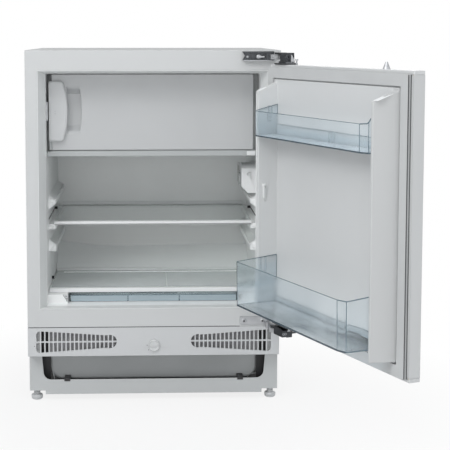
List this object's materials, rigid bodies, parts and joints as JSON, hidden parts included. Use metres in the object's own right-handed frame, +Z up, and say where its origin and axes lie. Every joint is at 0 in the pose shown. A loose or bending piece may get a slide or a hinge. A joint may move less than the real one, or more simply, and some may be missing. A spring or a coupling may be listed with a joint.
{
  "type": "undercounter fridge",
  "caption": "Built-under white fridge with an icebox behind a flap, glass shelf, shallow crisper, blue door bins, slotted base grille and a side-hinged door shown open.",
  "frame": {"origin": "on the floor, on the cabinet's centreline, in the plane of the cabinet's front frame", "axes": "+Z up, +X to the right seen from the front, the front faces -Y; the door is modelled 112 degrees open"},
  "size_m": [0.8046, 1.0868, 0.84],
  "materials": {
    "white_steel": "satin",
    "liner_plastic": "satin",
    "foam": "matte",
    "white_plastic": "satin",
    "gasket_rubber": "matte",
    "galvanised": "satin",
    "dark_steel": "satin",
    "evaporator_aluminium": "satin",
    "clear_glass": "gloss",
    "blue_clear_plastic": "gloss",
    "lens_plastic": "gloss",
    "bulb_glass": "gloss",
    "grey_plastic": "matte",
    "black_plastic": "matte",
    "black_steel": "satin",
    "black_rubber": "matte",
    "copper": "satin"
  },
  "bodies": {
    "cabinet": {"outer_wrap": "white_steel", "front_frame": "white_steel", "opening_collar": "liner_plastic", "cabinet_liner": "liner_plastic", "cabinet_foam": "foam", "back_panel": "white_steel", "bottom_sheet": "galvanised", "icebox_floor": "liner_plastic", "evaporator": "evaporator_aluminium", "flap_bushes": "white_plastic", "flap_striker": "galvanised", "lamp_housing": "white_plastic", "lamp_lens": "lens_plastic", "lamp_bulb": "bulb_glass", "crisper_cover_glass": "clear_glass", "crisper_cover_trims": "white_plastic", "grille_panel": "white_plastic", "air_baffle": "galvanised", "base_frame": "white_steel", "underbody_shroud": "grey_plastic", "shroud_clips": "black_plastic", "bay_sheet": "black_plastic", "compressor_plate": "galvanised", "compressor_mounts": "black_rubber", "compressor": "black_steel", "evaporating_tray": "black_plastic", "condenser_coil": "black_steel", "condenser_rails": "black_steel", "filter_dryer": "copper", "refrigerant_pipes": "copper", "mains_inlet": "black_plastic", "top_hinge_housing": "dark_steel", "top_hinge_ear": "galvanised", "bottom_hinge_plate": "galvanised", "hinge_screws": "galvanised"},
    "door": {"door_outer_skin": "white_steel", "door_bottom_cap": "white_plastic", "door_top_cap": "white_plastic", "door_foam": "foam", "door_liner": "liner_plastic", "door_gasket": "gasket_rubber", "door_front_studs": "galvanised", "top_hinge_arm": "dark_steel", "bottom_hinge_arm": "dark_steel", "hinge_pins": "galvanised"},
    "upper_door_bin": {"upper_bin": "blue_clear_plastic"},
    "lower_door_bin": {"lower_bin": "blue_clear_plastic"},
    "flap": {"icebox_flap": "white_plastic", "flap_handle": "white_plastic", "flap_pins": "galvanised"},
    "knob": {"thermostat_knob": "white_plastic"},
    "switch_button": {"door_switch_button": "white_plastic"},
    "shelf": {"shelf_glass_plate": "clear_glass", "shelf_trims": "white_plastic"},
    "drawer": {"crisper_drawer": "blue_clear_plastic"},
    "quarter_turn_cap": {"grille_cap": "white_plastic"},
    "front_left_foot": {"foot_front_left": "white_plastic"},
    "front_right_foot": {"foot_front_right": "white_plastic"},
    "rear_left_foot": {"foot_rear_left": "white_plastic"},
    "rear_right_foot": {"foot_rear_right": "white_plastic"}
  },
  "joints": [
    {"name": "door_swing", "type": "hinge", "parent": "cabinet", "child": "door", "pos_m": [0.291, -0.036, 0.5], "axis": [0, 0, 1], "range_deg": [-112, 3]},
    {"name": "icebox_flap_swing", "type": "hinge", "parent": "cabinet", "child": "flap", "pos_m": [0.236, 0.086, 0.69], "axis": [0, 0, 1], "range_deg": [0, 80]},
    {"name": "crisper_slide", "type": "slide", "parent": "cabinet", "child": "drawer", "axis": [0, -1, 0], "range_m": [0, 0.16]},
    {"name": "shelf_slide", "type": "slide", "parent": "cabinet", "child": "shelf", "axis": [0, -1, 0], "range_m": [0, 0.12]},
    {"name": "upper_bin_lift", "type": "slide", "parent": "door", "child": "upper_door_bin", "axis": [0, 0, 1], "range_m": [0, 0.04]},
    {"name": "lower_bin_lift", "type": "slide", "parent": "door", "child": "lower_door_bin", "axis": [0, 0, 1], "range_m": [0, 0.04]},
    {"name": "thermostat_turn", "type": "hinge", "parent": "cabinet", "child": "knob", "pos_m": [0.213, 0.149, 0.523], "axis": [-1, 0, 0], "range_deg": [0, 270]},
    {"name": "door_switch_press", "type": "slide", "parent": "cabinet", "child": "switch_button", "axis": [0, 1, 0], "range_m": [0, 0.005], "stiffness_N_per_m": 200},
    {"name": "grille_cap_turn", "type": "hinge", "parent": "cabinet", "child": "quarter_turn_cap", "pos_m": [0, 0, 0.142], "axis": [0, -1, 0], "range_deg": [0, 90]},
    {"name": "front_left_foot_turn", "type": "hinge", "parent": "cabinet", "child": "front_left_foot", "pos_m": [-0.282, 0.052, 0.02], "axis": [0, 0, 1], "continuous": true},
    {"name": "front_right_foot_turn", "type": "hinge", "parent": "cabinet", "child": "front_right_foot", "pos_m": [0.282, 0.052, 0.02], "axis": [0, 0, 1], "continuous": true},
    {"name": "rear_left_foot_turn", "type": "hinge", "parent": "cabinet", "child": "rear_left_foot", "pos_m": [-0.282, 0.47, 0.02], "axis": [0, 0, 1], "continuous": true},
    {"name": "rear_right_foot_turn", "type": "hinge", "parent": "cabinet", "child": "rear_right_foot", "pos_m": [0.282, 0.47, 0.02], "axis": [0, 0, 1], "continuous": true}
  ]
}
